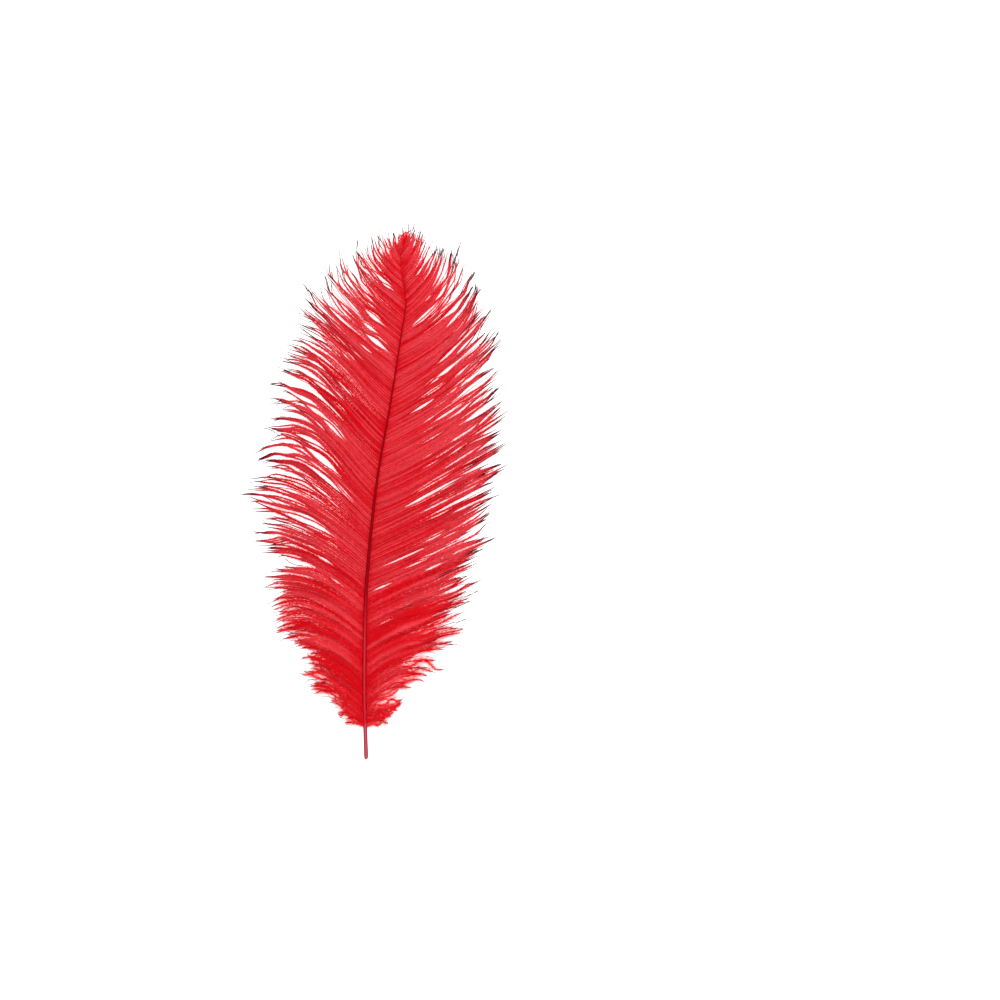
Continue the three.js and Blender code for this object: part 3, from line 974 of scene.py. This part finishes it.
def shaft_material(settings):
    """The shaft: dark dyed horn, paler towards the quill and with a painted highlight on top; the bare rosy quill has
    painted shade at its sides.
    """
    shader = Shader("dyed_shaft")
    station = shader.attribute("station")
    top = shader.attribute("around")
    low = shader.ramp(station, 120.0, 78.0)
    bare = shader.ramp(station, 23.0, 18.0)
    grain = shader.add("ShaderNodeTexNoise", {
        "Vector": shader.add("ShaderNodeTexCoord").outputs["Object"], "Scale": 300.0, "Detail": 2.0,
    })
    # Painted highlight along the top of the thick part, towards the quill.
    stripe = shader.math("MULTIPLY", shader.ramp(top, 0.84, 1.0), shader.ramp(station, 104.0, 66.0))
    vaned = shader.mix(low, rgba(settings.shaft_colour), rgba(settings.low_shaft_colour))
    vaned = shader.mix(stripe, vaned, rgba(settings.stripe_highlight_colour))
    # Painted shade: the quill darkens from its rose top to the dark shaft colour at its sides.
    quill = shader.mix(shader.ramp(top, 0.7, 1.0), rgba(settings.shaft_colour), rgba(settings.quill_colour))
    horn = shader.mix(bare, vaned, quill)
    worn = shader.math("MULTIPLY", grain.outputs["Fac"], 0.3)
    colour = shader.mix(worn, horn, rgba(settings.shaft_colour))
    surface = shader.surface
    shader.feed(surface.inputs["Base Color"], colour)
    shader.feed(surface.inputs["Roughness"], shader.math("MULTIPLY_ADD", grain.outputs["Fac"], 0.3, 0.35))
    surface.inputs["Specular IOR Level"].default_value = 0.03
    return shader.material


def floor_material(settings):
    shader = Shader("pale_floor")
    surface = shader.surface
    surface.inputs["Base Color"].default_value = (0.9, 0.9, 0.9, 1)
    surface.inputs["Roughness"].default_value = 0.9
    surface.inputs["Emission Color"].default_value = (1, 1, 1, 1)
    surface.inputs["Emission Strength"].default_value = settings.floor_glow
    return shader.material


def settle(piece):
    """Ties a finished piece to the part's body and hides the plume's solid in its place."""
    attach(piece, "root")
    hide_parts("plume")


class PLUME_OT_shaft(bpy.types.Operator):
    """Make the shaft with its bare quill"""

    bl_idname = "plume.shaft"
    bl_label = "Make the shaft"

    def execute(self, context):
        settings = context.scene.plume_settings
        piece = bpy.data.objects.new("shaft", shaft_mesh(settings))
        context.scene.collection.objects.link(piece)
        piece.data.materials.append(shaft_material(settings))
        settle(piece)
        return {"FINISHED"}


class PLUME_OT_vanes(bpy.types.Operator):
    """Make both vanes, barb by barb, in parts from the quill to the tip"""

    bl_idname = "plume.vanes"
    bl_label = "Make the vanes"

    def execute(self, context):
        settings = context.scene.plume_settings
        tree = barbule_tree()
        material = barb_material(settings)
        for side in LOCKS:
            parts = split_by_length(make_vane(side, settings), len(VANE_PARTS))
            for part, barbs in zip(VANE_PARTS, parts):
                gap = settings.down_gap if part == "base" else settings.barbule_gap
                settle(grow_barbs(f"{side}_vane_{part}", barbs, tree, gap, material, settings))
        return {"FINISHED"}


class PLUME_OT_stage(bpy.types.Operator):
    """Make the floor, the lights and the camera"""

    bl_idname = "plume.stage"
    bl_label = "Make the stage"

    def execute(self, context):
        settings = context.scene.plume_settings
        scene = context.scene
        half = 3.0
        mesh = bpy.data.meshes.new("floor")
        corners = [(-half, -half, 0), (half, -half, 0), (half, half, 0), (-half, half, 0)]
        mesh.from_pydata(corners, [], [(0, 1, 2, 3)])
        floor = bpy.data.objects.new("floor", mesh)
        scene.collection.objects.link(floor)
        mesh.materials.append(floor_material(settings))

        world = bpy.data.worlds.new("studio")
        scene.world = world
        world.use_nodes = True
        world.node_tree.nodes["Background"].inputs["Color"].default_value = (1, 1, 1, 1)
        world.node_tree.nodes["Background"].inputs["Strength"].default_value = 0.6
        scene.view_settings.view_transform = "Standard"

        light = bpy.data.lights.new("softbox", "AREA")
        light.shape = "DISK"
        light.size = 1.8
        light.energy = 48
        softbox = bpy.data.objects.new("softbox", light)
        softbox.location = (0.5, 0.9, 2.3)
        softbox.rotation_euler = (math.radians(-21), math.radians(12), 0)
        scene.collection.objects.link(softbox)

        camera = bpy.data.cameras.new("camera")
        camera.lens = 150
        camera.sensor_width = 36
        view_width = 0.6
        height = view_width * camera.lens / camera.sensor_width
        camera.clip_start = 0.1
        camera.clip_end = 20
        eye = bpy.data.objects.new("camera", camera)
        plan = to_frame(np.array([80.4, 156.0, 0]))
        eye.location = (plan[0], plan[1], height + 0.006)
        scene.collection.objects.link(eye)
        scene.camera = eye
        return {"FINISHED"}


class PLUME_PT_panel(bpy.types.Panel):
    """Lists the plume's steps and sizes"""

    bl_idname = "PLUME_PT_panel"
    bl_label = "Ostrich plume"
    bl_space_type = "VIEW_3D"
    bl_region_type = "UI"
    bl_category = "Plume"

    def draw(self, context):
        layout = self.layout
        for operator in STEPS:
            layout.operator(operator.bl_idname)
        for name in PlumeSettings.__annotations__:
            layout.prop(context.scene.plume_settings, name)


STEPS = (PLUME_OT_shaft, PLUME_OT_vanes, PLUME_OT_stage)
CLASSES = (PlumeSettings, *STEPS, PLUME_PT_panel)


def register():
    for each in CLASSES:
        bpy.utils.register_class(each)
    bpy.types.Scene.plume_settings = PointerProperty(type=PlumeSettings)


def unregister():
    del bpy.types.Scene.plume_settings
    for each in reversed(CLASSES):
        bpy.utils.unregister_class(each)


def main():
    register()
    bpy.ops.plume.shaft()
    bpy.ops.plume.vanes()
    bpy.ops.plume.stage()


if __name__ == "__main__":
    main()
